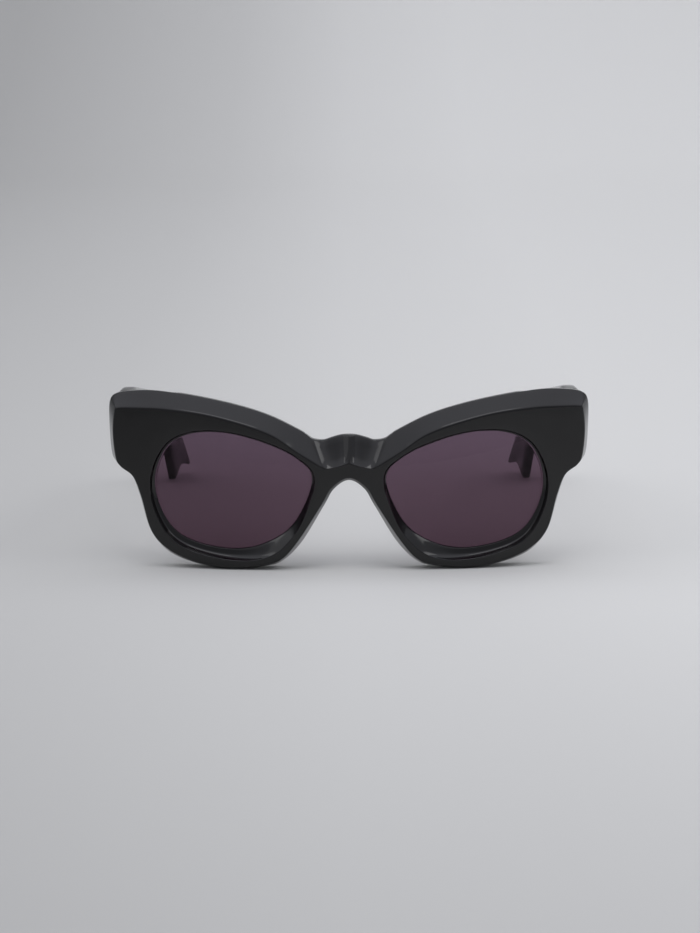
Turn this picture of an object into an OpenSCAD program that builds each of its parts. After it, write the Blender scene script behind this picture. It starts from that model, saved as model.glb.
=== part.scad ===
// Cat eye sunglasses with a thick sculpted front, tinted lenses and folding temples.
// Millimetres. The front faces -Y, the temples run to +Y, +Z is up, and Z = 0 is the surface they stand on.

/* [Lenses] */
// Visible width of each lens
lens_w = 48.3; // [44:0.1:54]
// Visible height of each lens
lens_h = 36; // [32:0.1:40]
// Gap between the visible lens edges across the bridge
lens_gap = 22.6; // [19:0.1:26]
// Thickness of the lens at its edge
lens_thick = 1.6; // [1.2:0.1:2]
// How far the middle of the lens stands forward of its edge
lens_dome = 1.3; // [0.5:0.1:2]

/* [Front] */
// Thickness of the front at the rims
front_thick = 7.5; // [7:0.1:9]
// Radius of the front's wrap around the face
wrap_radius = 305; // [240:5:500]
// Width of the rim below the lens
rim_low = 6.3; // [5:0.1:9]
// Depth of the bevel at the top of the brow
brow_depth = 4.6; // [3:0.1:5.5]
// Depth of the dish at the lens edge
dish_depth = 2.6; // [1.5:0.1:2.8]
// Depth of the groove that holds the lens
groove_depth = 1.1; // [0.7:0.1:1.4]
// Width of the chamfer round the back
back_edge = 0.7; // [0.3:0.1:1]

/* [Bridge] */
// Width of the hump on top of the bridge, from valley to valley
hump_w = 18.6; // [15:0.2:20]
// Height of the hump's top above the middle of the lenses
hump_top = 17.3; // [16:0.1:18.5]
// Height of the valleys beside the hump above the middle of the lenses
valley_top = 15.4; // [14:0.1:15.8]
// Height of the nose arch above the middle of the lenses
arch_top = 3.7; // [2:0.1:5]
// Height of the ridge's foot under the hump above the middle of the lenses
crease_top = 9.2; // [8:0.1:10.5]
// How far the feet of the two scoops dip below the ridge's foot
scoop_dip = 1.7; // [0.5:0.1:2]
// Extra hollow in the middle of each scoop, at its top
scoop_hollow = 0.9; // [0:0.1:1.2]
// Depth of the ridge between the scoops at the hump's top
ridge_depth = 3.7; // [2.6:0.1:4.2]

/* [Nose pads] */
// How far the pads stand out behind the front
pad_reach = 6; // [3:0.1:8]
// Width of the pads where they are bonded on
pad_w = 3.8; // [2.5:0.1:4.2]

/* [Temples] */
// Reach of the temple behind the front
temple_len = 143; // [132:1:150]
// Height of the temple at the hinge
temple_h = 17; // [14:0.1:18]
// Thickness of the temple at the hinge
temple_t = 6.4; // [5.5:0.1:7]
// Length of the level start of the temple's top edge
level_len = 9; // [6:0.5:12]
// Height of the temple where the ear bend starts
bend_h = 12.2; // [9:0.1:14]
// Height of the top edge above the ground where the ear bend starts
bend_top = 39.3; // [36:0.1:43]
// Length of the tip behind the start of the ear bend
tip_len = 58; // [52:1:64]
// Height of the tip's end
tip_h = 3.6; // [3:0.1:6]
// How far the tip's end leans back from its bottom corner to its top one
tip_lean = 14.5; // [8:0.5:16]
// Thickness of the tip at its end
tip_t = 3.7; // [2.8:0.1:4.5]
// Height of the notch between the two lobes of the tip's end
tip_notch = 3.9; // [0:0.1:4.5]
// Inward shift of the temple's lower edge at the tip
temple_toe = 4.2; // [3:0.1:5]
// Inward shift of the temple's upper edge at the tip
tip_curl = 9; // [6:0.1:10]
// Diameter of the core wire
core_d = 1.6; // [1.2:0.1:2]

/* [Hinges] */
// Height of the five barrels together
hinge_h = 7; // [5.5:0.1:9]
// Diameter of the barrels
barrel_d = 3.2; // [2.8:0.1:3.6]
// Diameter of the screw
screw_d = 1.4; // [1.2:0.1:1.6]
// Thickness of the leaf plates
leaf_t = 1.4; // [1:0.1:1.8]
// Length of the temple's leaf plate
leaf_len = 10; // [8:0.5:14]
// Diameter of the screw's head
head_d = 2.6; // [2.2:0.1:2.8]
// Height of the screw's head
head_h = 0.9; // [0.6:0.1:1.2]

/* [Clearances] */
// Gap between the front and the temple's end
butt_gap = 0.1; // [0.05:0.05:0.3]
// Gap round seated pieces
seat_gap = 0.06; // [0.02:0.01:0.1]
// Radial clearance of the screw in the temple's barrels
screw_gap = 0.03; // [0.01:0.01:0.06]
// Radial clearance of the screw in the front's barrels
screw_fit = 0.01; // [0.01:0.01:0.03]
// Clear space between a hinge barrel and the faces beside it
barrel_gap = 0.3; // [0.2:0.05:0.5]

/* [Hidden] */

$fn = 32;
acetate_black = [0.07, 0.07, 0.075];
lens_plum = [0.3, 0.24, 0.28];
hinge_metal = [0.72, 0.7, 0.66];

// Half of the front is drawn for x > 0 and mirrored.
lens_x = lens_gap / 2 + lens_w / 2;
lens_z = rim_low + lens_h / 2;

// Lens shape inside a box from -1 to 1, from the nose corner over the top.
lens_pattern = [[-1, 0.2], [-0.79, 0.58], [-0.33, 0.86], [0.14, 1], [0.56, 0.96], [0.85, 0.72],
                [1, 0.2], [0.92, -0.36], [0.66, -0.8], [0.15, -1], [-0.33, -0.94], [-0.76, -0.56]];

// A smooth curve between b and c, with a and d on either side.
function between(a, b, c, d, t) =
    0.5 * (2 * b + (c - a) * t + (2 * a - 5 * b + 4 * c - d) * t * t + (3 * b - a - 3 * c + d) * t * t * t);
function mix(a, b, t) = a + (b - a) * t;
function smooth(t) = let (k = min(max(t, 0), 1)) k * k * (3 - 2 * k);
function unit(v) = v / norm(v);

// Point of the visible lens edge, where p counts along the lens pattern.
function lens_edge(p) =
    let (n = len(lens_pattern), i = floor(p), q = [for (k = [-1:2]) lens_pattern[(i + k + n) % n]])
    let (m = between(q[0], q[1], q[2], q[3], p - i))
    [lens_x + m[0] * lens_w / 2, lens_z + m[1] * lens_h / 2];
// Direction that points away from the lens at its edge.
function lens_out(p) =
    let (d = lens_edge(p + 0.02) - lens_edge(p - 0.02))
    unit([-d[1], d[0]]);

// Stations round the eye: outer point of the rim, place on the lens edge, start of the rim's bevel, depth of
// the bevel and width of the dish beside the lens. The outer point and the bevel are stated from the lens
// edge, in rim units.
rim_unit = 1;
function turned_by(v, a) = [v[0] * cos(a) - v[1] * sin(a), v[0] * sin(a) + v[1] * cos(a)];
function reach(p, dx, dz, bevel, depth, dish, turn = 0) =
    let (o = lens_edge(p) + rim_unit * [dx, dz], b = o - rim_unit * bevel * turned_by(unit([dx, dz]), turn))
    [o[0], o[1], p, b[0], b[1], depth, rim_unit * dish];
// A station on the bridge, with shares of the hump's half width, of its height and of the scoop's dip.
half_hump = hump_w / 2;
ridge_foot = 0.8;
scoop_share = 0.8;
bridge_dish = 0.8 * rim_unit;
function on_bridge(x, rise, foot_x, dip, p, depth) =
    [x * half_hump, lens_z + mix(valley_top, hump_top, rise), p,
     foot_x * half_hump, lens_z + crease_top - dip * scoop_dip, depth, bridge_dish];
crease_p = 0.15;
arch_bevel = rim_unit;
side_land = 1.2;
side_depth = front_thick - side_land;
stations = [
    on_bridge(0, 1, 0, 0, crease_p, ridge_depth),
    on_bridge(0.28, 0.88, 0.24, 0.45, 0.3, mix(ridge_depth, scoop_share * brow_depth, 0.5)),
    on_bridge(0.56, 0.5, 0.47, 1, 0.42, scoop_share * brow_depth),
    on_bridge(0.84, 0.08, 0.66, 1, 0.54, scoop_share * brow_depth),
    on_bridge(1.12, 0.22, ridge_foot, 0.75, 0.68, scoop_share * brow_depth),
    on_bridge(1.38, 0.95, 1.06, 0.2, 0.85, 0.97 * brow_depth),
    reach(1.08, -1.8, 7.85, 5.8, brow_depth, 0.8),
    reach(1.6, 1.3, 9.3, 5.4, brow_depth, 0.9),
    reach(2.25, 3.7, 9.8, 5.6, brow_depth, 0.9),
    reach(3.15, 5.6, 10.55, 5.5, brow_depth, 0.9),
    reach(4.2, 7.4, 13.5, 5.7, brow_depth, 1),
    reach(4.75, 11.5, 15.6, 5.7, brow_depth, 1),
    reach(5, 15.5, 16, 3.8, brow_depth, 1, 24),
    reach(5.15, 16.8, 14.4, 2.7, brow_depth, 1),
    reach(5.45, 15.7, 9.6, 1.9, side_depth, 1.1),
    reach(5.8, 14, 4.9, 1.9, side_depth, 1.2),
    reach(5.95, 12.3, 3.4, 1.8, side_depth, 1.3),
    reach(6.15, 7.9, 2.2, 1.3, side_depth, 1.4),
    reach(6.5, 5.7, -0.8, 1.1, side_depth, 1.6),
    reach(7.3, 5.3, -4.3, 1, side_depth, 2.5),
    reach(8, 4.6, -4.9, 1, 0.4 * side_depth, 3.5),
    reach(8.7, 4.1, -5.4, 0.9, 0.3 * side_depth, 3.4),
    reach(9.3, 1, -6.1, 0.9, 0.3 * side_depth, 3.4),
    reach(9.95, -1.5, -6.3, 0.9, 0.3 * side_depth, 3.8),
    reach(10.35, -3.1, -6.7, 1.2, 0.6 * side_depth, 3.7),
    reach(10.8, -4.4, -4.3, 1.8, side_depth, 2.4),
    reach(11.5, -5.5, -1.3, 1.1, 0.5 * side_depth, 1, 16),
    reach(11.8, -7.1, -0.2, 1, 0.3 * side_depth, 0.9, 43),
    [0, lens_z + arch_top, 12, 0, lens_z + arch_top + arch_bevel, 0.3 * side_depth, bridge_dish]
];
last_station = len(stations) - 1;
// The row beyond either end is the mirror image of the row before it, with a crease along the ridge.
function beyond(row, edge, depth) =
    [-row[0], row[1], 2 * edge[2] - row[2], -row[3], row[4], depth, row[6]];
before_last = stations[last_station - 1];
station_list = concat([beyond(stations[1], stations[0], 2 * stations[0][5] - stations[1][5])], stations,
                      [beyond(before_last, stations[last_station], before_last[5])]);
function station(u) =
    let (i = min(floor(u), last_station - 1), q = [for (k = [0:3]) station_list[i + k]])
    between(q[0], q[1], q[2], q[3], u - i);

// Columns of the rim from the ridge round the eye to the nose arch, then up the bridge's middle to the ridge.
station_steps = 3;
bridge_steps = 4;
rim_columns = last_station * station_steps;
function bridge_column(t) =
    let (z = lens_z + mix(arch_top + arch_bevel, crease_top, t))
    [0, z, 12 + crease_p * t, 0, z, 0, bridge_dish];
columns = concat([for (k = [0:rim_columns]) station(k / station_steps)],
                 [for (k = [1:bridge_steps - 1]) bridge_column(k / bridge_steps)]);

// Forward and back surfaces of the front.
function sag(x) = x * x / (2 * wrap_radius);
half_w = max([for (row = stations) row[0]]);
// The back of each end piece is raised to a flat seat for the hinge and the temple.
seat_y = sag(half_w) + front_thick;
seat_x = lens_x + 0.41 * lens_w;
seat_z = lens_z + 0.2 * lens_h;
seat_ramp = 4;
function seat_share(x, z) = smooth((x - seat_x + seat_ramp) / seat_ramp) * smooth((z - seat_z) / seat_ramp);
function back_y(x, z) = mix(sag(x) + front_thick, seat_y, seat_share(x, z));

lip_half = 0.9;
lip_edge = 0.7;
groove_y = dish_depth + lip_edge + lip_half;
function place(q, depth) = [q[0], sag(q[0]) + depth, q[1]];
function place_back(q, inset) = [q[0], back_y(q[0], q[1]) - inset, q[1]];
// The top of the seat falls towards the back, so that it stays behind the brow.
seat_fall = 0.3;
function fallen(o, d) = o - [0, seat_fall * (back_y(o[0], o[1]) - sag(o[0]) - front_thick) * max(0, d[1])];
// Depth that the scoops beside the ridge add to the bevel.
function hollow(b, k) =
    let (across = b[0] / (ridge_foot * half_hump), high = b[1] > lens_z + (arch_top + crease_top) / 2)
    high && across < 1 ? scoop_hollow * (1 - pow(abs(1 - 2 * across), 3)) * k : 0;
bevel_shares = [0, 1 / 3, 2 / 3, 1];
dish_share = 0.65;
dish_mid = 0.78;
function in_middle(q) = abs(q[0]) < 0.001;
// A section runs from the lens edge over the face, the bevel and the edge to the back and into the groove.
function face_part(c, b) =
    let (e = lens_edge(c[2]), n = lens_out(c[2]), s = e + n * c[6])
    [place(e, dish_depth), place(e + n * c[6] * dish_share, dish_depth * dish_mid), place(s, 0),
     place((s + b) / 2, 0)];
function bevel_part(c, o, b) = [for (k = bevel_shares) place(mix(b, o, k), c[5] * k + hollow(b, k))];
function edge_part(low, rear) = [place_back(low, back_edge), place_back(rear, 0)];
function section(c) =
    let (o = [c[0], c[1]], b = [c[3], c[4]], e = lens_edge(c[2]), n = lens_out(c[2]))
    let (inward = norm(b - o) > 0 ? unit(b - o) : [0, 0], inner = e + n * back_edge)
    let (low = fallen(o, -inward), rear = low + inward * back_edge)
    concat(
        face_part(c, b), bevel_part(c, o, b), edge_part(low, rear),
        [place_back(in_middle(o) ? b : (rear + inner) / 2, 0), place_back(inner, 0)],
        [for (g = [[0, lip_half], [groove_depth, 0], [0, -lip_half]]) place(e + n * g[0], groove_y + g[1])]);
// The bridge's middle has no faces between the start of its bevel and the middle of its back.
ridge = columns[0];
section_points = len(section(ridge));
bevel_first = len(face_part(ridge, [0, 0]));
back_mid = bevel_first + len(bevel_shares) + len(edge_part([0, 0], [0, 0]));

// Faces of a tube of rings, each with the same number of points, as triangles. Rings from open_from on have
// no faces between the points open[0] and open[1].
function ring_faces(rings, sides, closed, open_from = 1e6, open = [0, 0]) = [
    for (j = [0:rings - (closed ? 1 : 2)]) for (k = [0:sides - 1])
        if (j < open_from || k < open[0] || k >= open[1])
            let (a = j * sides + k, b = j * sides + (k + 1) % sides)
            let (c = ((j + 1) % rings) * sides + (k + 1) % sides, d = ((j + 1) % rings) * sides + k)
            each [[a, b, c], [a, c, d]]];
function turned(faces) = [for (f = faces) [f[2], f[1], f[0]]];
function shifted(faces, by) = [for (f = faces) f + [by, by, by]];
function mirrored(points) = [for (p = points) [-p[0], p[1], p[2]]];

// The whole part lies with the middle of its depth at the origin.
depth_all = seat_y + butt_gap + temple_len;
module in_frame() translate([0, -depth_all / 2, 0]) children();
module on_side(side) in_frame() scale_side(side) children();
module scale_side(side) {
    if (side > 0) children();
    else mirror([1, 0, 0]) children();
}

// Front
module front_shell() {
    half = [for (c = columns) each section(c)];
    faces = ring_faces(len(columns), section_points, true, rim_columns, [bevel_first, back_mid]);
    polyhedron(concat(half, mirrored(half)), concat(faces, shifted(turned(faces), len(half))), convexity = 8);
}
module front_frame() color(acetate_black) in_frame() difference() {
    front_shell();
    for (side = [1, -1]) scale_side(side) front_leaf_space(seat_gap);
}

// Lenses
lens_rings = [0.4, 0.75, 0.93];
lens_inset = 0.12;
module lens() {
    middle = [lens_x, lens_z];
    rim = [for (c = columns) [lens_edge(c[2]), lens_out(c[2])]];
    half = lens_thick / 2;
    // Rings from the front's middle over the edge to the back's: share of the way out and offset in depth.
    rings = concat(
        [for (k = lens_rings) [k, -half]], [[1, -half]], [[2, 0]], [[1, half]],
        [for (k = [len(lens_rings) - 1:-1:0]) [lens_rings[k], half]]);
    function bulge(k) = lens_dome * (1 - min(k, 1) * min(k, 1));
    points = concat(
        [for (r = rings) for (e = rim)
            let (q = r[0] > 1 ? e[0] + e[1] * (groove_depth - lens_inset)
                              : mix(middle, e[0] - e[1] * lens_inset, r[0]))
            place(q, groove_y + r[1] - bulge(r[0]))],
        [place(middle, groove_y - half - lens_dome), place(middle, groove_y + half - lens_dome)]);
    n = len(rim);
    last = (len(rings) - 1) * n;
    faces = concat(
        [for (k = [0:n - 1]) [len(points) - 2, (k + 1) % n, k]],
        ring_faces(len(rings), n, false),
        [for (k = [0:n - 1]) [len(points) - 1, last + k, last + (k + 1) % n]]);
    polyhedron(points, turned(faces), convexity = 4);
}
module lens_left() color(lens_plum) on_side(1) lens();
module lens_right() color(lens_plum) on_side(-1) lens();

// Nose pads
pad_from = last_station - 3.4;
pad_to = last_station - 1.4;
pad_steps = 8;
// Section of a pad: share of its width from the nose, and share of its reach to the back.
pad_section = [[0, 0], [0.12, 0.55], [0.45, 0.95], [0.75, 0.95], [0.97, 0.6], [1, 0]];
pad_inset = 0.7;
pad_end = 0.3;
pad_round = 0.6;
module nose_pad() {
    sides = len(pad_section);
    points = [for (k = [0:pad_steps])
        let (c = station(mix(pad_from, pad_to, k / pad_steps)), o = [c[0], c[1]])
        let (d = unit(lens_edge(c[2]) - o))
        let (swell = mix(pad_end, 1, pow(sin(180 * k / pad_steps), pad_round)))
        each [for (q = pad_section)
            let (w = o + d * (pad_inset + q[0] * pad_w))
            [w[0], back_y(w[0], w[1]) + seat_gap + q[1] * pad_reach * swell, w[1]]]];
    last = pad_steps * sides;
    cap = [for (k = [1:sides - 2]) [0, k + 1, k]];
    end = [for (k = [1:sides - 2]) [last, last + k, last + k + 1]];
    polyhedron(points, concat(ring_faces(pad_steps + 1, sides, false), cap, end), convexity = 4);
}
module nose_pad_left() color(acetate_black) on_side(1) nose_pad();
module nose_pad_right() color(acetate_black) on_side(-1) nose_pad();

// Temples
root_y = seat_y + butt_gap;
outer_step = 1.9;
inner_x = half_w - outer_step - temple_t;
// The temple's top lies a little below the brow's highest point.
root_drop = 1.05;
root_top = max([for (row = stations) row[1]]) - root_drop;
// The top edge starts level, falls straight to the ear bend and then curves down to the tip.
bend_at = temple_len - tip_len;
level_ease = 3;
function behind_level(y) = (y - level_len + norm([y - level_len, level_ease])) / 2;
function past_level(y) = behind_level(y) - behind_level(0);
top_slope = (root_top - bend_top) / past_level(bend_at);
tip_fall = (root_top - top_slope * past_level(temple_len) - tip_h) / (tip_len * tip_len);
function past_bend(y) = max(0, y - bend_at) / tip_len;
function top_z(y) = root_top - top_slope * past_level(y) - tip_fall * pow(max(0, y - bend_at), 2);
// Height, rearward lean, thickness and inward shift of the section whose top is at reach y.
function height_at(y) = y < bend_at ? mix(temple_h, bend_h, y / bend_at) : mix(bend_h, tip_h, past_bend(y));
function lean_at(y) = tip_lean * smooth(past_bend(y));
function thick_at(y) = mix(temple_t, tip_t, y / temple_len);
function low_shift(y) = temple_toe * y / temple_len;
curl_power = 1.9;
function top_shift(y) = low_shift(y) + (tip_curl - temple_toe) * pow(past_bend(y), curl_power);
// Reaches of the sections, closer together at the level start and round the bend.
straight_steps = 12;
straight_power = 1.3;
tip_steps = 18;
temple_reaches = concat([for (k = [0:straight_steps]) bend_at * pow(k / straight_steps, straight_power)],
                        [for (k = [1:tip_steps]) bend_at + tip_len * k / tip_steps]);
temple_sides = 16;
notch_power = 8;
// Share of the notch's height along the tip's end, from its bottom corner to its top one.
notch_low = 1.5;
notch_high = 3;
notch_peak = notch_low / (notch_low + notch_high);
function notch(up) = pow(up / notch_peak, notch_low) * pow((1 - up) / (1 - notch_peak), notch_high);
function squared(t) = sign(t) * sqrt(abs(t));
// Point of the section at reach y, with shares from the bottom to the top and from the inner face to the
// outer one.
function temple_point(y, up, across) =
    let (lift = tip_notch * pow(past_bend(y), notch_power) * notch(up))
    [inner_x - mix(low_shift(y), top_shift(y), up) + across * thick_at(y),
     root_y + y - mix(lean_at(y), 0, up), top_z(y) - height_at(y) * (1 - up) + lift];
function temple_section(y) = [for (k = [0:temple_sides - 1])
    let (a = 360 * k / temple_sides)
    temple_point(y, (squared(sin(a)) + 1) / 2, (squared(cos(a)) + 1) / 2)];

// The wire starts behind the hinge leaf, just under the inner face.
core_wall = 0.5;
core_gap = 0.4;
core_from = [inner_x + core_d / 2 + core_wall, root_y + leaf_len + core_gap, root_top - temple_h / 2];
core_bend = temple_point(bend_at + 0.15 * tip_len, 0.5, 0.5);
core_to = temple_point(bend_at + 0.7 * tip_len, 0.5, 0.5);
core_sides = 12;
module core(d, start) {
    path = [start, core_bend, core_to];
    ways = [path[1] - path[0], unit(path[1] - path[0]) + unit(path[2] - path[1]), path[2] - path[1]];
    points = [for (k = [0:2])
        let (n = unit(ways[k]), u = unit(cross(n, [1, 0, 0])), w = cross(n, u))
        each [for (a = [0:core_sides - 1])
            path[k] + d / 2 * (cos(360 * a / core_sides) * u + sin(360 * a / core_sides) * w)]];
    last = 2 * core_sides;
    caps = [for (k = [1:core_sides - 2]) each [[0, k, k + 1], [last, last + k + 1, last + k]]];
    polyhedron(points, concat(turned(ring_faces(3, core_sides, false)), caps));
}
module temple_body() {
    rings = len(temple_reaches);
    points = [for (y = temple_reaches) each temple_section(y)];
    last = (rings - 1) * temple_sides;
    // The caps are strips between the inner and outer edges, from the bottom to the top.
    function strip(first) = [for (k = [0:temple_sides / 2 - 1])
        let (low = 3 * temple_sides / 4, a = (low + k) % temple_sides, b = (low + k + 1) % temple_sides)
        let (c = low - k - 1, d = low - k)
        each [if (b != c) [a, b, c] + first * [1, 1, 1], if (a != d) [a, c, d] + first * [1, 1, 1]]];
    polyhedron(points, concat(ring_faces(rings, temple_sides, false), turned(strip(0)), strip(last)),
               convexity = 6);
}
module temple() difference() {
    temple_body();
    temple_leaf_space(seat_gap);
    core(core_d + 2 * seat_gap, core_from - unit(core_bend - core_from) * core_d);
}
module temple_left() color(acetate_black) on_side(1) temple();
module temple_right() color(acetate_black) on_side(-1) temple();
module core_wire_left() color(hinge_metal) on_side(1) core(core_d, core_from);
module core_wire_right() color(hinge_metal) on_side(-1) core(core_d, core_from);

// Hinges
hinge_x = inner_x - barrel_d / 2 - barrel_gap;
hinge_y = seat_y + barrel_d / 2 + barrel_gap;
hinge_z = root_top - temple_h / 2;
barrels = 5;
barrel_h = hinge_h / barrels;
barrel_play = 0.04;
web_step = 0.2;
barrel_web = barrel_d / 2 - web_step;
web_root = 0.5;
leaf_setback = 0.4;
front_leaf_w = 6.6;
cut_over = 2;
slot_w = 0.35;
hinge_low = hinge_z - hinge_h / 2;
leaf_out = hinge_x + barrel_d / 2;
leaf_in = leaf_out - front_leaf_w;
module front_leaf_space(gap)
    translate([leaf_in - gap, seat_y - leaf_t - gap, hinge_low - gap])
        cube([front_leaf_w + 2 * gap, leaf_t + gap + cut_over, hinge_h + 2 * gap]);
module temple_leaf_space(gap)
    translate([inner_x - cut_over, root_y - cut_over, hinge_low - gap])
        cube([leaf_t + gap + cut_over, leaf_len + gap + cut_over, hinge_h + 2 * gap]);
module barrel(k, bore, web_x, web_y) {
    low = hinge_low + k * barrel_h + barrel_play;
    high = barrel_h - 2 * barrel_play;
    translate([hinge_x, hinge_y, low]) difference() {
        union() {
            cylinder(h = high, d = barrel_d);
            translate([min(web_x[0], web_x[1]), min(web_y[0], web_y[1]), 0])
                cube([abs(web_x[1] - web_x[0]), abs(web_y[1] - web_y[0]), high]);
        }
        translate([0, 0, -cut_over]) cylinder(h = high + 2 * cut_over, d = bore);
    }
}
module front_hinge() {
    translate([leaf_in, seat_y - leaf_t, hinge_low]) cube([front_leaf_w, leaf_t, hinge_h]);
    for (k = [0:2:barrels - 1])
        barrel(k, screw_d + 2 * screw_fit, [-barrel_web, barrel_web], [seat_y - hinge_y - web_root, 0]);
}
module temple_hinge() {
    translate([inner_x, root_y + leaf_setback, hinge_low]) cube([leaf_t, leaf_len - leaf_setback, hinge_h]);
    for (k = [1:2:barrels - 1])
        barrel(k, screw_d + 2 * screw_gap, [0, inner_x - hinge_x + web_root], [-barrel_web, barrel_web]);
}
module hinge_screw() {
    translate([hinge_x, hinge_y, hinge_low]) difference() {
        union() {
            cylinder(h = hinge_h, d = screw_d);
            translate([0, 0, hinge_h]) cylinder(h = head_h, d = head_d);
        }
        translate([-head_d, -slot_w / 2, hinge_h + head_h / 2]) cube([2 * head_d, slot_w, head_h]);
    }
}
module front_hinge_left() color(hinge_metal) on_side(1) front_hinge();
module front_hinge_right() color(hinge_metal) on_side(-1) front_hinge();
module temple_hinge_left() color(hinge_metal) on_side(1) temple_hinge();
module temple_hinge_right() color(hinge_metal) on_side(-1) temple_hinge();
module hinge_screw_left() color(hinge_metal) on_side(1) hinge_screw();
module hinge_screw_right() color(hinge_metal) on_side(-1) hinge_screw();

front_frame();
lens_left();
lens_right();
nose_pad_left();
nose_pad_right();
temple_left();
temple_right();
core_wire_left();
core_wire_right();
front_hinge_left();
front_hinge_right();
temple_hinge_left();
temple_hinge_right();
hinge_screw_left();
hinge_screw_right();
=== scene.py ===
"""Cat eye sunglasses: the finished look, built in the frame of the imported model."""
import math

import bmesh
import bpy
import numpy as np
from mathutils import Matrix, Vector


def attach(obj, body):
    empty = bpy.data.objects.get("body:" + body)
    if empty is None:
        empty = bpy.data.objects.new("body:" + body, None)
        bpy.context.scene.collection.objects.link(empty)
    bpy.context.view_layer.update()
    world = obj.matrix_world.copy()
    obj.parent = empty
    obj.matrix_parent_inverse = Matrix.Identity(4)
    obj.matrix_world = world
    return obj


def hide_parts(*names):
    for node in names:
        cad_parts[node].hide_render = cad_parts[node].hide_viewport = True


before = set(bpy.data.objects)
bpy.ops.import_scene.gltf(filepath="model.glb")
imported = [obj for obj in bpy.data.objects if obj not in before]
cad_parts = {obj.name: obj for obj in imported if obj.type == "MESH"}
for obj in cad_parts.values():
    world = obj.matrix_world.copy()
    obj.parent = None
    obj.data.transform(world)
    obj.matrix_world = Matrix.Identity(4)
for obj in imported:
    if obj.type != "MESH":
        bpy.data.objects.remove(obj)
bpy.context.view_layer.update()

# Sizes in millimetres. The front's foremost plane is y = 0 until add_mesh() and cut_box() shift the points
# into the frame, which is in metres.
PER_METRE = 1000
LENS_W, LENS_H, LENS_GAP, LENS_THICK, LENS_DOME = 48.3, 36.0, 22.6, 1.6, 1.3
FRONT_THICK, WRAP_RADIUS, RIM_LOW, BROW_DEPTH = 7.5, 305.0, 6.3, 4.6
DISH_DEPTH, GROOVE_DEPTH, BACK_EDGE = 2.6, 1.1, 0.7
HALF_HUMP, HUMP_TOP, VALLEY_TOP, ARCH_TOP, CREASE_TOP = 9.3, 17.3, 15.4, 3.7, 9.2
SCOOP_DIP, SCOOP_HOLLOW, RIDGE_DEPTH = 1.7, 0.9, 3.9
PAD_REACH, PAD_W, PAD_INSET = 6.0, 3.8, 0.7
TEMPLE_LEN, TEMPLE_H, TEMPLE_T = 143.0, 17.0, 6.4
BEND_H, BEND_TOP, TIP_LEN, TIP_H, TIP_LEAN, TIP_T, TIP_NOTCH = 12.2, 39.3, 58.0, 3.6, 14.5, 3.7, 3.9
TEMPLE_TOE, TIP_CURL, CURL_POWER = 4.2, 9.0, 1.9
LEVEL_LEN, LEVEL_EASE, OUTER_STEP, ROOT_DROP = 9.0, 3.0, 1.9, 1.05
ROOT_ROUND, TIP_ROUND = 0.4, 0.7
HINGE_H, BARREL_D, LEAF_T, LEAF_LEN, LEAF_W = 7.0, 3.2, 1.4, 10.0, 6.6
BUTT_GAP, SEAT_GAP, BARREL_GAP, LENS_INSET = 0.1, 0.06, 0.3, 0.12
SIDE_LAND, GROOVE_LAND = 1.2, 0.7
STEEL_EDGE = 0.08
# How far the tool of a hinge pocket reaches past the surface that it cuts.
CUT_PAST = 2

LENS_X = LENS_GAP / 2 + LENS_W / 2
LENS_Z = RIM_LOW + LENS_H / 2
SIDE_DEPTH = FRONT_THICK - SIDE_LAND
LIP_HALF = 0.9
GROOVE_Y = DISH_DEPTH + GROOVE_LAND + LIP_HALF
RIDGE_FOOT, SCOOP_SHARE = 0.85, 0.86
CREASE_P = 0.15
ARCH_BEVEL = 1.0
BRIDGE_DISH = 0.8
# Shares of a scoop's width that its two walls take, and how its hollow deepens up the bevel.
MIDDLE_WALL, RIDGE_WALL, HOLLOW_POWER = 0.2, 0.18, 0.35
# The dish's flat floor: its slope, and the power of the rise at its edge.
DISH_SLOPE, DISH_POWER = 0.25, 6
# Radii of the front's soft edges, from the lens over the face to the back.
LIP_ROUND, DISH_ROUND, BEVEL_ROUND, OUTER_ROUND, BACK_ROUND, INNER_ROUND = 0.2, 0.35, 0.9, 0.45, 0.3, 0.4

LENS_PATTERN = np.array([
    (-1, 0.2), (-0.79, 0.58), (-0.33, 0.86), (0.14, 1), (0.56, 0.96), (0.85, 0.72),
    (1, 0.2), (0.92, -0.36), (0.66, -0.8), (0.15, -1), (-0.33, -0.94), (-0.76, -0.56)])
LENS_TURN = len(LENS_PATTERN)


def mix(a, b, t):
    return a + (b - a) * t


def smooth(t):
    t = np.clip(t, 0, 1)
    return t * t * (3 - 2 * t)


def unit(v):
    return v / np.maximum(np.linalg.norm(v, axis=-1, keepdims=True), 1e-9)


def along(rows, u):
    """Smooth curve through rows[1:-1], where u counts from 0."""
    u = np.asarray(u, float)
    i = np.clip(np.floor(u).astype(int), 0, len(rows) - 4)
    t = (u - i)[:, None]
    a, b, c, d = (rows[i + k] for k in range(4))
    return 0.5 * (2 * b + (c - a) * t + (2 * a - 5 * b + 4 * c - d) * t ** 2
                  + (3 * b - a - 3 * c + d) * t ** 3)


LENS_ROWS = np.concatenate([LENS_PATTERN[-1:], LENS_PATTERN, LENS_PATTERN[:2]])


def lens_edge(p):
    q = along(LENS_ROWS, np.mod(np.atleast_1d(np.asarray(p, float)), LENS_TURN))
    return q * (LENS_W / 2, LENS_H / 2) + (LENS_X, LENS_Z)


def lens_out(p):
    step = 0.02
    p = np.atleast_1d(np.asarray(p, float))
    d = lens_edge(p + step) - lens_edge(p - step)
    return unit(np.stack([-d[:, 1], d[:, 0]], 1))


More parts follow.
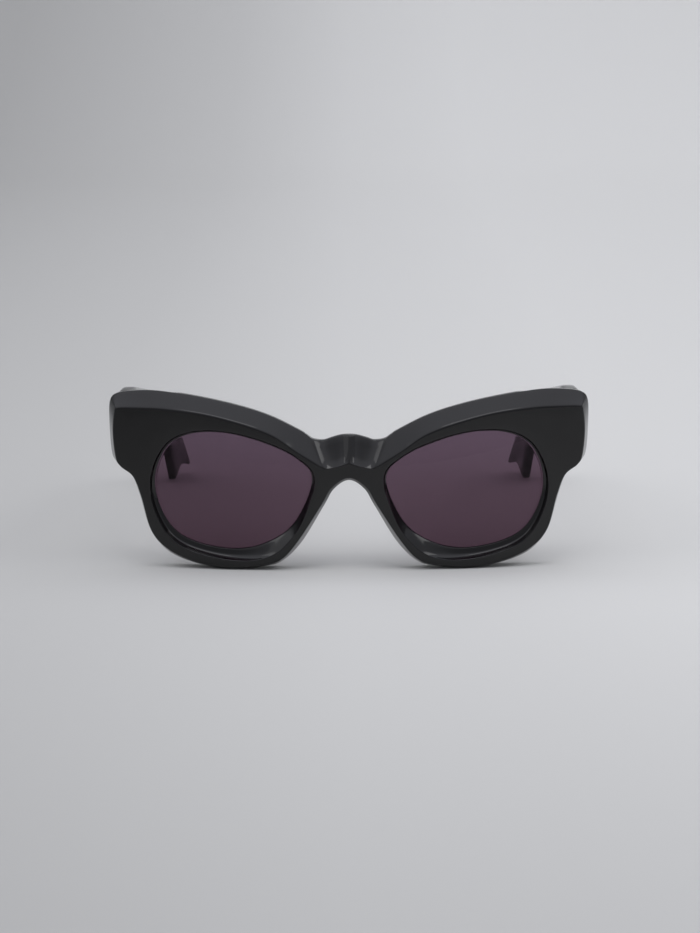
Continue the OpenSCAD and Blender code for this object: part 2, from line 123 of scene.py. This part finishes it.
# Stations round the eye: outer point, place on the lens edge, start of the bevel, bevel depth, dish width.
def reach(p, dx, dz, bevel, depth, dish, turn=0):
    o = lens_edge(p)[0] + (dx, dz)
    w, a = unit(np.array([dx, dz], float)), math.radians(turn)
    way = np.array([w[0] * math.cos(a) - w[1] * math.sin(a), w[0] * math.sin(a) + w[1] * math.cos(a)])
    b = o - bevel * way
    return [o[0], o[1], p, b[0], b[1], depth, dish]


def on_bridge(x, rise, foot_x, dip, p, depth):
    return [x * HALF_HUMP, LENS_Z + mix(VALLEY_TOP, HUMP_TOP, rise), p,
            foot_x * HALF_HUMP, LENS_Z + CREASE_TOP - dip * SCOOP_DIP, depth, BRIDGE_DISH]


STATIONS = np.array([
    on_bridge(0, 1, 0, 0, CREASE_P, RIDGE_DEPTH),
    on_bridge(0.28, 0.88, 0.24, 0.45, 0.3, mix(RIDGE_DEPTH, SCOOP_SHARE * BROW_DEPTH, 0.5)),
    on_bridge(0.56, 0.5, 0.47, 1, 0.42, SCOOP_SHARE * BROW_DEPTH),
    on_bridge(0.84, 0.08, 0.66, 1, 0.54, SCOOP_SHARE * BROW_DEPTH),
    on_bridge(1.17, 0.3, RIDGE_FOOT, 0.75, 0.68, SCOOP_SHARE * BROW_DEPTH),
    on_bridge(1.38, 0.95, 1.06, 0.2, 0.85, 0.97 * BROW_DEPTH),
    reach(1.08, -1.8, 7.85, 5.8, BROW_DEPTH, 0.8),
    reach(1.6, 1.3, 9.3, 5.4, BROW_DEPTH, 0.9),
    reach(2.25, 3.7, 9.8, 5.6, BROW_DEPTH, 0.9),
    reach(3.15, 5.6, 10.55, 5.5, BROW_DEPTH, 0.9),
    reach(4.2, 7.4, 13.5, 5.7, BROW_DEPTH, 1),
    reach(4.75, 11.5, 15.6, 5.7, BROW_DEPTH, 1),
    reach(5, 15.5, 16, 3.8, BROW_DEPTH, 1, 24),
    reach(5.15, 16.8, 14.4, 2.7, BROW_DEPTH, 1),
    reach(5.45, 15.7, 9.6, 1.8, SIDE_DEPTH, 1.1),
    reach(5.8, 14, 4.9, 1.8, SIDE_DEPTH, 1.2),
    reach(5.95, 12.3, 3.4, 1.8, SIDE_DEPTH, 1.3),
    reach(6.15, 7.9, 2.2, 1.3, SIDE_DEPTH, 1.4),
    reach(6.5, 5.7, -0.8, 1.1, SIDE_DEPTH, 1.6),
    reach(7.3, 5.3, -4.3, 1, SIDE_DEPTH, 2.0),
    reach(8, 4.6, -4.9, 1, 0.4 * SIDE_DEPTH, 2.5),
    reach(8.7, 4.1, -5.4, 0.9, 0.3 * SIDE_DEPTH, 2.7),
    reach(9.3, 1, -6.1, 0.9, 0.3 * SIDE_DEPTH, 3.1),
    reach(9.95, -1.5, -6.3, 0.9, 0.3 * SIDE_DEPTH, 3.8),
    reach(10.35, -3.1, -6.7, 1.2, 0.6 * SIDE_DEPTH, 3.7),
    reach(10.8, -4.4, -4.3, 1.8, SIDE_DEPTH, 2.4),
    reach(11.5, -5.5, -1.3, 1.1, 0.5 * SIDE_DEPTH, 1, 16),
    reach(11.8, -7.1, -0.2, ARCH_BEVEL, 0.3 * SIDE_DEPTH, 0.9, 43),
    [0, LENS_Z + ARCH_TOP, LENS_TURN, 0, LENS_Z + ARCH_TOP + ARCH_BEVEL, 0.3 * SIDE_DEPTH, BRIDGE_DISH]])
LAST = len(STATIONS) - 1
# How flat the dish's floor is at each station: 1 for a flat floor with a steep edge, 0 for a plain slope.
# It slopes from the bottom of the rim round to the nose.
DISH_FLAT = np.ones(len(STATIONS))
DISH_FLAT[22:28] = 0.8, 0.35, 0.0, 0.0, 0.4, 0.8
STATIONS = np.column_stack([STATIONS, DISH_FLAT])


def beyond(row, edge, depth):
    """A station mirrored past the middle, where the curve through the stations ends."""
    return [-row[0], row[1], 2 * edge[2] - row[2], -row[3], row[4], depth, *row[6:]]


STATION_ROWS = np.array([
    beyond(STATIONS[1], STATIONS[0], 2 * STATIONS[0][5] - STATIONS[1][5]), *STATIONS,
    beyond(STATIONS[LAST - 1], STATIONS[LAST], STATIONS[LAST - 1][5])])
HALF_W = STATIONS[:, 0].max()
SEAT_Y = HALF_W ** 2 / (2 * WRAP_RADIUS) + FRONT_THICK
DEPTH_ALL = SEAT_Y + BUTT_GAP + TEMPLE_LEN
SEAT_RAMP, SEAT_FALL = 4.0, 0.3
SEAT_X, SEAT_Z = LENS_X + 0.41 * LENS_W, LENS_Z + 0.2 * LENS_H


def sag(x):
    return x * x / (2 * WRAP_RADIUS)


def back_y(q):
    """The back of the front, which is raised to a flat seat where a temple butts against it."""
    x, z = q[:, 0], q[:, 1]
    share = smooth((x - SEAT_X + SEAT_RAMP) / SEAT_RAMP) * smooth((z - SEAT_Z) / SEAT_RAMP)
    return mix(sag(x) + FRONT_THICK, SEAT_Y, share)


def place(q, depth):
    return np.stack([q[:, 0], sag(q[:, 0]) + depth, q[:, 1]], 1)


def place_back(q, inset):
    return np.stack([q[:, 0], back_y(q) - inset, q[:, 1]], 1)


def add_mesh(name, points, faces, mat, side=1):
    """A smooth-shaded object from points in millimetres, for the wearer's left (1) or right (-1)."""
    points = np.asarray(points, float) * (side, 1, 1) - (0, DEPTH_ALL / 2, 0)
    mesh = bpy.data.meshes.new(name)
    mesh.from_pydata((points / PER_METRE).tolist(), [], faces)
    bm = bmesh.new()
    bm.from_mesh(mesh)
    bmesh.ops.remove_doubles(bm, verts=bm.verts, dist=1e-6)
    bmesh.ops.dissolve_degenerate(bm, edges=bm.edges, dist=1e-7)
    bmesh.ops.recalc_face_normals(bm, faces=bm.faces)
    bm.to_mesh(mesh)
    bm.free()
    for f in mesh.polygons:
        f.use_smooth = True
    mesh.materials.append(mat)
    obj = bpy.data.objects.new(name, mesh)
    bpy.context.scene.collection.objects.link(obj)
    return obj


def ring_faces(rings, sides, closed=False):
    faces = []
    for j in range(rings if closed else rings - 1):
        for k in range(sides):
            faces.append((j * sides + k, j * sides + (k + 1) % sides,
                          (j + 1) % rings * sides + (k + 1) % sides, (j + 1) % rings * sides + k))
    return faces


def cut_box(obj, low, high, side=1):
    """Cuts a pocket between two corners in millimetres."""
    x = sorted((low[0] * side, high[0] * side))
    lo = np.array([x[0], low[1] - DEPTH_ALL / 2, low[2]]) / PER_METRE
    hi = np.array([x[1], high[1] - DEPTH_ALL / 2, high[2]]) / PER_METRE
    mesh = bpy.data.meshes.new("pocket")
    bm = bmesh.new()
    bmesh.ops.create_cube(bm, size=1)
    for v in bm.verts:
        v.co = [mix(lo[k], hi[k], v.co[k] + 0.5) for k in range(3)]
    bm.to_mesh(mesh)
    bm.free()
    tool = bpy.data.objects.new("pocket", mesh)
    bpy.context.scene.collection.objects.link(tool)
    cut = obj.modifiers.new("pocket", "BOOLEAN")
    cut.operation, cut.solver, cut.object = "DIFFERENCE", "EXACT", tool
    done = bpy.data.meshes.new_from_object(obj.evaluated_get(bpy.context.evaluated_depsgraph_get()))
    obj.modifiers.clear()
    obj.data = done
    bpy.data.objects.remove(tool)


# Materials
def material(name):
    mat = bpy.data.materials.new(name)
    mat.use_nodes = True
    tree = mat.node_tree
    return mat, tree, tree.nodes["Principled BSDF"]


def noise(tree, scale, detail, stretch=None):
    at = tree.nodes.new("ShaderNodeTexCoord")
    node = tree.nodes.new("ShaderNodeTexNoise")
    node.inputs["Scale"].default_value = scale
    node.inputs["Detail"].default_value = detail
    if stretch:
        turn = tree.nodes.new("ShaderNodeMapping")
        turn.inputs["Scale"].default_value = stretch
        tree.links.new(at.outputs["Object"], turn.inputs["Vector"])
        tree.links.new(turn.outputs["Vector"], node.inputs["Vector"])
    else:
        tree.links.new(at.outputs["Object"], node.inputs["Vector"])
    return node.outputs["Fac"]


def coordinates(tree, kind):
    """The X, Y and Z outputs of a texture coordinate."""
    at = tree.nodes.new("ShaderNodeTexCoord")
    split = tree.nodes.new("ShaderNodeSeparateXYZ")
    tree.links.new(at.outputs[kind], split.inputs["Vector"])
    return split.outputs


def share_of(tree, value, low, high):
    """The value's place between low and high, from 0 to 1."""
    node = tree.nodes.new("ShaderNodeMapRange")
    node.inputs["From Min"].default_value = low
    node.inputs["From Max"].default_value = high
    tree.links.new(value, node.inputs["Value"])
    return node.outputs["Result"]


def tinted(stops, colour):
    return [(at, tuple(value * part for part in colour)) for at, value in stops]


def ramp(tree, fac, stops):
    node = tree.nodes.new("ShaderNodeValToRGB")
    while len(node.color_ramp.elements) < len(stops):
        node.color_ramp.elements.new(0.5)
    for e, (at, value) in zip(node.color_ramp.elements, stops):
        e.position = at
        e.color = (*value, 1) if isinstance(value, tuple) else (value, value, value, 1)
    tree.links.new(fac, node.inputs["Fac"])
    return node.outputs["Color"]


def bump(tree, bsdf, height, distance):
    node = tree.nodes.new("ShaderNodeBump")
    node.inputs["Strength"].default_value = 1
    node.inputs["Distance"].default_value = distance
    tree.links.new(height, node.inputs["Height"])
    tree.links.new(node.outputs["Normal"], bsdf.inputs["Normal"])


def acetate_material():
    mat, tree, bsdf = material("black_acetate")
    depth = noise(tree, 90, 4)
    black = [(0.3, (0.0012, 0.0012, 0.0014)), (0.75, (0.003, 0.0027, 0.0027))]
    tree.links.new(ramp(tree, depth, black), bsdf.inputs["Base Color"])
    polish = noise(tree, 220, 5)
    tree.links.new(ramp(tree, polish, [(0.3, 0.07), (0.7, 0.13)]), bsdf.inputs["Roughness"])
    bsdf.inputs["IOR"].default_value = 1.47
    bump(tree, bsdf, noise(tree, 120, 1), 0.00004)
    return mat


def lens_material():
    """A plum tint with painted shade, darker towards the bottom for the floor's shadow seen through the lens,
    with a low index for the weak reflection of a coated lens.
    """
    low, high = 0.006, 0.043
    mat, tree, bsdf = material("plum_lens_painted_shade")
    height = share_of(tree, coordinates(tree, "Object")["Z"], low, high)
    # Painted shade: the tint darkens towards the bottom for the shadow on the floor behind the lens.
    tint = [(0, (0.106, 0.062, 0.085)), (0.5, (0.127, 0.079, 0.108)), (1, (0.157, 0.106, 0.147))]
    tree.links.new(ramp(tree, height, tint), bsdf.inputs["Base Color"])
    bsdf.inputs["Transmission Weight"].default_value = 1
    bsdf.inputs["IOR"].default_value = 1.2
    tree.links.new(ramp(tree, noise(tree, 160, 4), [(0.35, 0.0), (0.8, 0.03)]), bsdf.inputs["Roughness"])
    return mat


def steel_material():
    mat, tree, bsdf = material("hinge_steel")
    grain = noise(tree, 900, 3, (1, 1, 0.08))
    brushed = [(0.3, (0.46, 0.45, 0.43)), (0.7, (0.62, 0.61, 0.58))]
    tree.links.new(ramp(tree, grain, brushed), bsdf.inputs["Base Color"])
    tree.links.new(ramp(tree, grain, [(0.3, 0.24), (0.7, 0.4)]), bsdf.inputs["Roughness"])
    bsdf.inputs["Metallic"].default_value = 1
    bump(tree, bsdf, grain, 0.00002)
    return mat


ACETATE, LENS, STEEL = acetate_material(), lens_material(), steel_material()


# Front: rings of points from the lens edge over the face and the bevel to the back and into the groove.
def rounded(keys):
    """Rings from keys of (points, corner radius, points in the corner)."""
    most = 0.45
    rings = []
    for i, (p, radius, count) in enumerate(keys):
        if count == 1:
            rings.append(p)
            continue
        a, b = keys[i - 1][0] - p, keys[(i + 1) % len(keys)][0] - p
        la, lb = np.linalg.norm(a, axis=1), np.linalg.norm(b, axis=1)
        t = np.minimum(radius, most * np.minimum(la, lb))[:, None]
        for q in np.linspace(0, 1, count):
            rings.append(p + unit(a) * t * (1 - q) ** 2 + unit(b) * t * q ** 2)
    return np.stack(rings, 1)


def front_rings(c, ease):
    """Rings for the stations c, with the numbers of the first and last points of their outer side."""
    near_middle = 0.001
    o, b, e, n = c[:, :2], c[:, 3:5], lens_edge(c[:, 2]), lens_out(c[:, 2])
    depth, dish = c[:, 5], c[:, 6:7]
    inward = unit(b - o)
    s, inner = e + n * dish, e + n * BACK_EDGE
    raised = back_y(o) - sag(o[:, 0]) - FRONT_THICK
    low = o - np.stack([0 * raised, SEAT_FALL * raised * np.maximum(0, -inward[:, 1])], 1)
    rear = low + inward * BACK_EDGE
    across = b[:, 0] / (RIDGE_FOOT * HALF_HUMP)
    scooped = (b[:, 1] > LENS_Z + (ARCH_TOP + CREASE_TOP) / 2) & (across < 1)
    middle = (np.abs(o[:, 0]) < near_middle)[:, None]

    def bevel(k):
        floor = np.minimum(1, np.minimum(across / MIDDLE_WALL, (1 - across) / RIDGE_WALL))
        hollow = np.where(scooped, SCOOP_HOLLOW * floor * k ** HOLLOW_POWER, 0)
        return place(mix(b, o, k), depth * k + hollow)

    def dished(t):
        curved = mix(t, DISH_SLOPE * t + (1 - DISH_SLOPE) * t ** DISH_POWER, c[:, 7])
        return place(e + n * dish * t, DISH_DEPTH * (1 - curved))

    keys = [(dished(0), LIP_ROUND, 4)]
    keys += [(dished(t), 0, 1) for t in (0.2, 0.4, 0.52, 0.62, 0.7, 0.78, 0.86, 0.93)]
    keys += [(dished(1), DISH_ROUND, 6)]
    keys += [(place(mix(s, b, t), 0), 0, 1) for t in (0.3, 0.6)]
    first = sum(k[2] for k in keys)
    keys += [(bevel(0), BEVEL_ROUND * ease, 6)]
    keys += [(bevel(k), 0, 1) for k in (0.2, 0.3, 0.4, 0.5, 0.625, 0.75)]
    keys += [(bevel(1), OUTER_ROUND, 6)]
    keys += [(place_back(low, BACK_EDGE), BACK_ROUND, 4), (place_back(rear, 0), BACK_ROUND, 4)]
    keys += [(place_back(np.where(middle, b, (rear + inner) / 2), 0), 0, 1)]
    last = sum(k[2] for k in keys) - 1
    keys += [(place_back(inner, 0), INNER_ROUND, 4)]
    keys += [(place(e, GROOVE_Y + LIP_HALF), LIP_ROUND, 3), (place(e + n * GROOVE_DEPTH, GROOVE_Y), 0, 1),
             (place(e, GROOVE_Y - LIP_HALF), LIP_ROUND, 3)]
    return rounded(keys), first, last


def build_front():
    steps, bridge_steps, ease_stations = 14, 16, 0.8
    u = np.arange(LAST * steps + 1) / steps
    rim = along(STATION_ROWS, u)
    t = np.arange(1, bridge_steps)[:, None] / bridge_steps
    z = LENS_Z + mix(ARCH_TOP + ARCH_BEVEL, CREASE_TOP, t)
    place_on_lens = LENS_TURN + CREASE_P * t
    middle = np.concatenate([0 * t, z, place_on_lens, 0 * t, z, 0 * t, 0 * t + BRIDGE_DISH, 0 * t + 1], 1)
    ease = np.concatenate([np.clip(np.minimum(u, LAST - u) / ease_stations, 0, 1), 0 * t[:, 0]])
    rings, first, last = front_rings(np.concatenate([rim, middle]), ease)
    count, sides = rings.shape[:2]
    faces = [f for i, f in enumerate(ring_faces(count, sides, True))
             if i // sides < len(rim) - 1 or not first <= i % sides < last]
    half = rings.reshape(-1, 3)
    points = np.concatenate([half, half * (-1, 1, 1)])
    faces += [tuple(k + len(half) for k in f[::-1]) for f in faces]
    obj = add_mesh("front_look", points, faces, ACETATE)
    for side in (1, -1):
        cut_box(obj, (LEAF_OUT - LEAF_W - SEAT_GAP, SEAT_Y - LEAF_T - SEAT_GAP, HINGE_LOW - SEAT_GAP),
                (LEAF_OUT + SEAT_GAP, SEAT_Y + CUT_PAST, HINGE_LOW + HINGE_H + SEAT_GAP), side)
    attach(obj, "front")
    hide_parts("front_frame")


# Lenses
def build_lens(side, name):
    steps = 24
    p = np.arange(0, LENS_TURN, 1 / steps)
    e, n = lens_edge(p), lens_out(p)
    centre, half = np.array([[LENS_X, LENS_Z]]), LENS_THICK / 2
    shares = np.array([0.1, 0.2, 0.3, 0.4, 0.5, 0.6, 0.7, 0.8, 0.88, 0.94, 0.98, 1])

    def sheet(k, at):
        return place(mix(centre, e - n * LENS_INSET, k), GROOVE_Y + at - LENS_DOME * (1 - k * k))

    rings = [sheet(k, -half) for k in shares]
    rings += [place(e + n * (GROOVE_DEPTH - LENS_INSET), GROOVE_Y)]
    rings += [sheet(k, half) for k in shares[::-1]]
    poles = [place(centre, GROOVE_Y + at - LENS_DOME) for at in (-half, half)]
    points = np.concatenate(rings + poles)
    count, last = len(p), (len(rings) - 1) * len(p)
    faces = ring_faces(len(rings), count)
    faces += [(len(points) - 2, (k + 1) % count, k) for k in range(count)]
    faces += [(len(points) - 1, last + k, last + (k + 1) % count) for k in range(count)]
    obj = add_mesh(f"{name}_look", points, faces, LENS, side)
    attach(obj, "front")
    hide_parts(name)


# Nose pads, between two stations counted back from the arch of the nose
PAD_FROM, PAD_TO = 3.4, 1.4
PAD_END, PAD_SWELL = 0.3, 0.6


def build_pad(side, name):
    section = np.array([(0, 0), (0.12, 0.55), (0.45, 0.95), (0.75, 0.95), (0.97, 0.6), (1, 0)])
    rows = np.concatenate([2 * section[:1] - section[1:2], section, 2 * section[-1:] - section[-2:-1]])
    section = along(rows, np.linspace(0, len(section) - 1, 31))
    t = np.linspace(0, 1, 33)
    c = along(STATION_ROWS, mix(LAST - PAD_FROM, LAST - PAD_TO, t))
    o = c[:, :2]
    d = unit(lens_edge(c[:, 2]) - o)
    swell = mix(PAD_END, 1, np.sin(math.pi * t) ** PAD_SWELL)
    rings = []
    for w, h in section:
        q = o + d * (PAD_INSET + w * PAD_W)
        rings.append(np.stack([q[:, 0], back_y(q) + SEAT_GAP + max(h, 0) * PAD_REACH * swell, q[:, 1]], 1))
    rings = np.stack(rings, 1)
    count, sides = rings.shape[:2]
    faces = ring_faces(count, sides)
    faces += [tuple(range(sides)), tuple(range((count - 1) * sides, count * sides))]
    obj = add_mesh(f"{name}_look", rings.reshape(-1, 3), faces, ACETATE, side)
    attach(obj, "front")
    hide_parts(name)


# Temples
ROOT_Y = SEAT_Y + BUTT_GAP
INNER_X = HALF_W - OUTER_STEP - TEMPLE_T
ROOT_TOP = STATIONS[:, 1].max() - ROOT_DROP
BEND_AT = TEMPLE_LEN - TIP_LEN
HINGE_X = INNER_X - BARREL_D / 2 - BARREL_GAP
HINGE_LOW = ROOT_TOP - TEMPLE_H / 2 - HINGE_H / 2
LEAF_OUT = HINGE_X + BARREL_D / 2
ROOT_NARROW, TIP_NARROW = 0.06, 0.2


def past_level(y):
    """How far y lies behind the level start of the temple's top, with a soft turn."""
    far = [(k - LEVEL_LEN + math.hypot(k - LEVEL_LEN, LEVEL_EASE)) / 2 for k in (y, 0)]
    return far[0] - far[1]


TOP_SLOPE = (ROOT_TOP - BEND_TOP) / past_level(BEND_AT)
TIP_FALL = (ROOT_TOP - TOP_SLOPE * past_level(TEMPLE_LEN) - TIP_H) / TIP_LEN ** 2
NOTCH_LOW, NOTCH_HIGH, NOTCH_POWER = 1.5, 3.0, 8
NOTCH_PEAK = NOTCH_LOW / (NOTCH_LOW + NOTCH_HIGH)


def notch(up):
    """Share of the notch's depth along the tip's end, from its bottom to its top corner."""
    return (up / NOTCH_PEAK) ** NOTCH_LOW * ((1 - up) / (1 - NOTCH_PEAK)) ** NOTCH_HIGH


def temple_point(y, up, across):
    """Points of the section at y, with up and across as shares of its height and thickness."""
    past = max(0.0, y - BEND_AT) / TIP_LEN
    top = ROOT_TOP - TOP_SLOPE * past_level(y) - TIP_FALL * max(0.0, y - BEND_AT) ** 2
    height = mix(TEMPLE_H, BEND_H, y / BEND_AT) if y < BEND_AT else mix(BEND_H, TIP_H, past)
    lean = TIP_LEAN * float(smooth(past))
    toe = TEMPLE_TOE * y / TEMPLE_LEN
    curl = toe + (TIP_CURL - TEMPLE_TOE) * past ** CURL_POWER
    hollow = TIP_NOTCH * past ** NOTCH_POWER * notch(up)
    return np.stack([INNER_X - mix(toe, curl, up) + across * mix(TEMPLE_T, TIP_T, y / TEMPLE_LEN),
                     ROOT_Y + y - mix(lean, 0, up), top - height * (1 - up) + hollow], 1)


def build_temple(side, name, body):
    a = np.linspace(0, 2 * math.pi, 65)[:-1]
    up, across = (np.sign(q) * np.sqrt(np.abs(q)) for q in (np.sin(a), np.cos(a)))

    def ring(y, scale=1.0, shift=0.0):
        return temple_point(y, (up * scale + 1) / 2, (across * scale + 1) / 2) + (0, shift, 0)

    turn, end = np.linspace(0, math.pi / 2, 7), TEMPLE_LEN - TIP_ROUND
    rings = [ring(ROOT_ROUND * (1 - math.sin(q)), 1 - ROOT_NARROW * (1 - math.cos(q))) for q in turn[::-1]]
    rings += [ring(y) for y in np.linspace(ROOT_ROUND, BEND_AT, 48)[1:]]
    rings += [ring(y) for y in np.linspace(BEND_AT, end, 64)[1:]]
    rings += [ring(end, 1 - TIP_NARROW * (1 - math.cos(q)), TIP_ROUND * math.sin(q)) for q in turn[1:]]
    rings += [ring(end, k, TIP_ROUND) for k in (0.6, 0.4, 0.2)]
    count, sides = len(rings), len(a)
    faces = ring_faces(count, sides)
    faces += [tuple(range(sides)), tuple(range((count - 1) * sides, count * sides))]
    obj = add_mesh(f"{name}_look", np.concatenate(rings), faces, ACETATE, side)
    cut_box(obj, (INNER_X - CUT_PAST, ROOT_Y - CUT_PAST, HINGE_LOW - SEAT_GAP),
            (INNER_X + LEAF_T + SEAT_GAP, ROOT_Y + LEAF_LEN + SEAT_GAP, HINGE_LOW + HINGE_H + SEAT_GAP), side)
    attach(obj, body)
    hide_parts(name)


build_front()
for side, word in ((1, "left"), (-1, "right")):
    build_lens(side, f"lens_{word}")
    build_pad(side, f"nose_pad_{word}")
    build_temple(side, f"temple_{word}", f"{word}_temple")
    for node in ("front_hinge", "temple_hinge", "hinge_screw", "core_wire"):
        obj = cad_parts[f"{node}_{word}"]
        obj.data.materials.clear()
        obj.data.materials.append(STEEL)
        if node != "core_wire":
            edge = obj.modifiers.new("edge", "BEVEL")
            edge.width, edge.segments, edge.limit_method = STEEL_EDGE / PER_METRE, 2, "ANGLE"


# Floor, light and camera, in metres
def floor_material():
    """Pale paper whose colour holds painted light: it is darker to the left and towards the near edge, for
    the light's falloff.
    """
    left, right, near, far = -0.3, 0.1, -0.4, 1.4
    paper = 0.815, 0.815, 0.784
    # Painted light falloff: shares of the paper's colour across (darker to the left) and away (darker near
    # the front edge).
    across = [(0, 0.6), (0.5, 0.78), (0.75, 0.93), (1, 1.0)]
    away = [(0, 0.75), (0.15, 0.95), (1, 1.1)]
    mat, tree, bsdf = material("floor_paper_painted_falloff")
    at = coordinates(tree, "Object")
    blend = tree.nodes.new("ShaderNodeMix")
    blend.data_type, blend.blend_type = "RGBA", "MULTIPLY"
    blend.inputs[0].default_value = 1
    tree.links.new(ramp(tree, share_of(tree, at["X"], left, right), tinted(across, paper)), blend.inputs[6])
    tree.links.new(ramp(tree, share_of(tree, at["Y"], near, far), away), blend.inputs[7])
    tree.links.new(blend.outputs[2], bsdf.inputs["Base Color"])
    bsdf.inputs["Roughness"].default_value = 0.8
    bsdf.inputs["Specular IOR Level"].default_value = 0.1
    return mat


def build_floor():
    """A pale sweep: flat under the part, rising behind it."""
    near, flat, radius, high, wide = -3.0, 1.3, 0.7, 3.2, 3.5
    turn = np.linspace(0, math.pi / 2, 33)[1:]
    line = [(near, 0.0), (-0.6, 0.0), (0.0, 0.0), (flat, 0.0)]
    line += [(flat + radius * math.sin(q), radius * (1 - math.cos(q))) for q in turn]
    line += [(flat + radius, high)]
    points = [(x, y, z) for y, z in line for x in (-wide, wide)]
    faces = [(2 * k, 2 * k + 1, 2 * k + 3, 2 * k + 2) for k in range(len(line) - 1)]
    mesh = bpy.data.meshes.new("floor_sweep")
    mesh.from_pydata(points, [], faces)
    for f in mesh.polygons:
        f.use_smooth = True
    mesh.materials.append(floor_material())
    obj = bpy.data.objects.new("floor_sweep", mesh)
    bpy.context.scene.collection.objects.link(obj)


LIGHT_AIM, LIGHT_AWAY = Vector((0, -0.07, 0.03)), 1.4


def area_light(name, azimuth, elevation, size, radiance):
    """A soft box that faces the part. Its azimuth counts from the camera's side to the wearer's left."""
    a, h = math.radians(azimuth), math.radians(elevation)
    way = Vector((math.sin(a) * math.cos(h), -math.cos(a) * math.cos(h), math.sin(h)))
    data = bpy.data.lights.new(name, "AREA")
    data.shape, data.size, data.size_y = "RECTANGLE", size[0], size[1]
    data.energy = radiance * math.pi * size[0] * size[1]
    obj = bpy.data.objects.new(name, data)
    obj.location = LIGHT_AIM + way * LIGHT_AWAY
    obj.rotation_euler = (-way).to_track_quat("-Z", "Y").to_euler()
    bpy.context.scene.collection.objects.link(obj)


def build_room():
    """A bright ceiling over dim walls, of which the one behind the camera is the dimmest."""
    front, sides = -0.85, -0.5
    tint = 0.97, 0.98, 1.07
    wall_front = [(0, 0.35), (0.55, 0.35), (0.75, 1.0), (1, 1.25)]
    wall_side = [(0, 0.35), (0.3, 0.55), (0.65, 0.65), (0.75, 1.0), (1, 1.25)]
    world = bpy.data.worlds.new("studio")
    bpy.context.scene.world = world
    world.use_nodes = True
    tree = world.node_tree
    way = coordinates(tree, "Generated")
    blend = tree.nodes.new("ShaderNodeMix")
    blend.data_type = "RGBA"
    tree.links.new(share_of(tree, way["Y"], front, sides), blend.inputs[0])
    for socket, stops in ((blend.inputs[6], wall_front), (blend.inputs[7], wall_side)):
        tree.links.new(ramp(tree, way["Z"], tinted(stops, tint)), socket)
    tree.links.new(blend.outputs[2], tree.nodes["Background"].inputs["Color"])


def build_camera():
    """A long lens in front of the front's foremost plane and a little above the part."""
    sensor, focal = 36, 107.9
    x, away, up = 0.0003, 0.83493, 0.19184
    tilt, roll = math.radians(79.2), math.radians(-0.25)
    data = bpy.data.cameras.new("camera")
    data.sensor_fit, data.sensor_height, data.lens = "VERTICAL", sensor, focal
    camera = bpy.data.objects.new("camera", data)
    camera.location = (x, -away - DEPTH_ALL / 2 / PER_METRE, up)
    camera.rotation_euler = (Matrix.Rotation(tilt, 3, "X") @ Matrix.Rotation(roll, 3, "Z")).to_euler()
    bpy.context.scene.collection.objects.link(camera)
    bpy.context.scene.camera = camera


build_floor()
area_light("softbox_front", 0, 70, (0.55, 0.22), 2.4)
area_light("head_right", 72, 44, (0.5, 0.3), 1.8)
area_light("head_left", -72, 44, (0.5, 0.3), 1.1)
area_light("softbox_left", -72, 34, (0.8, 0.36), 0.35)
build_room()
build_camera()
bpy.context.scene.view_settings.view_transform = "Standard"
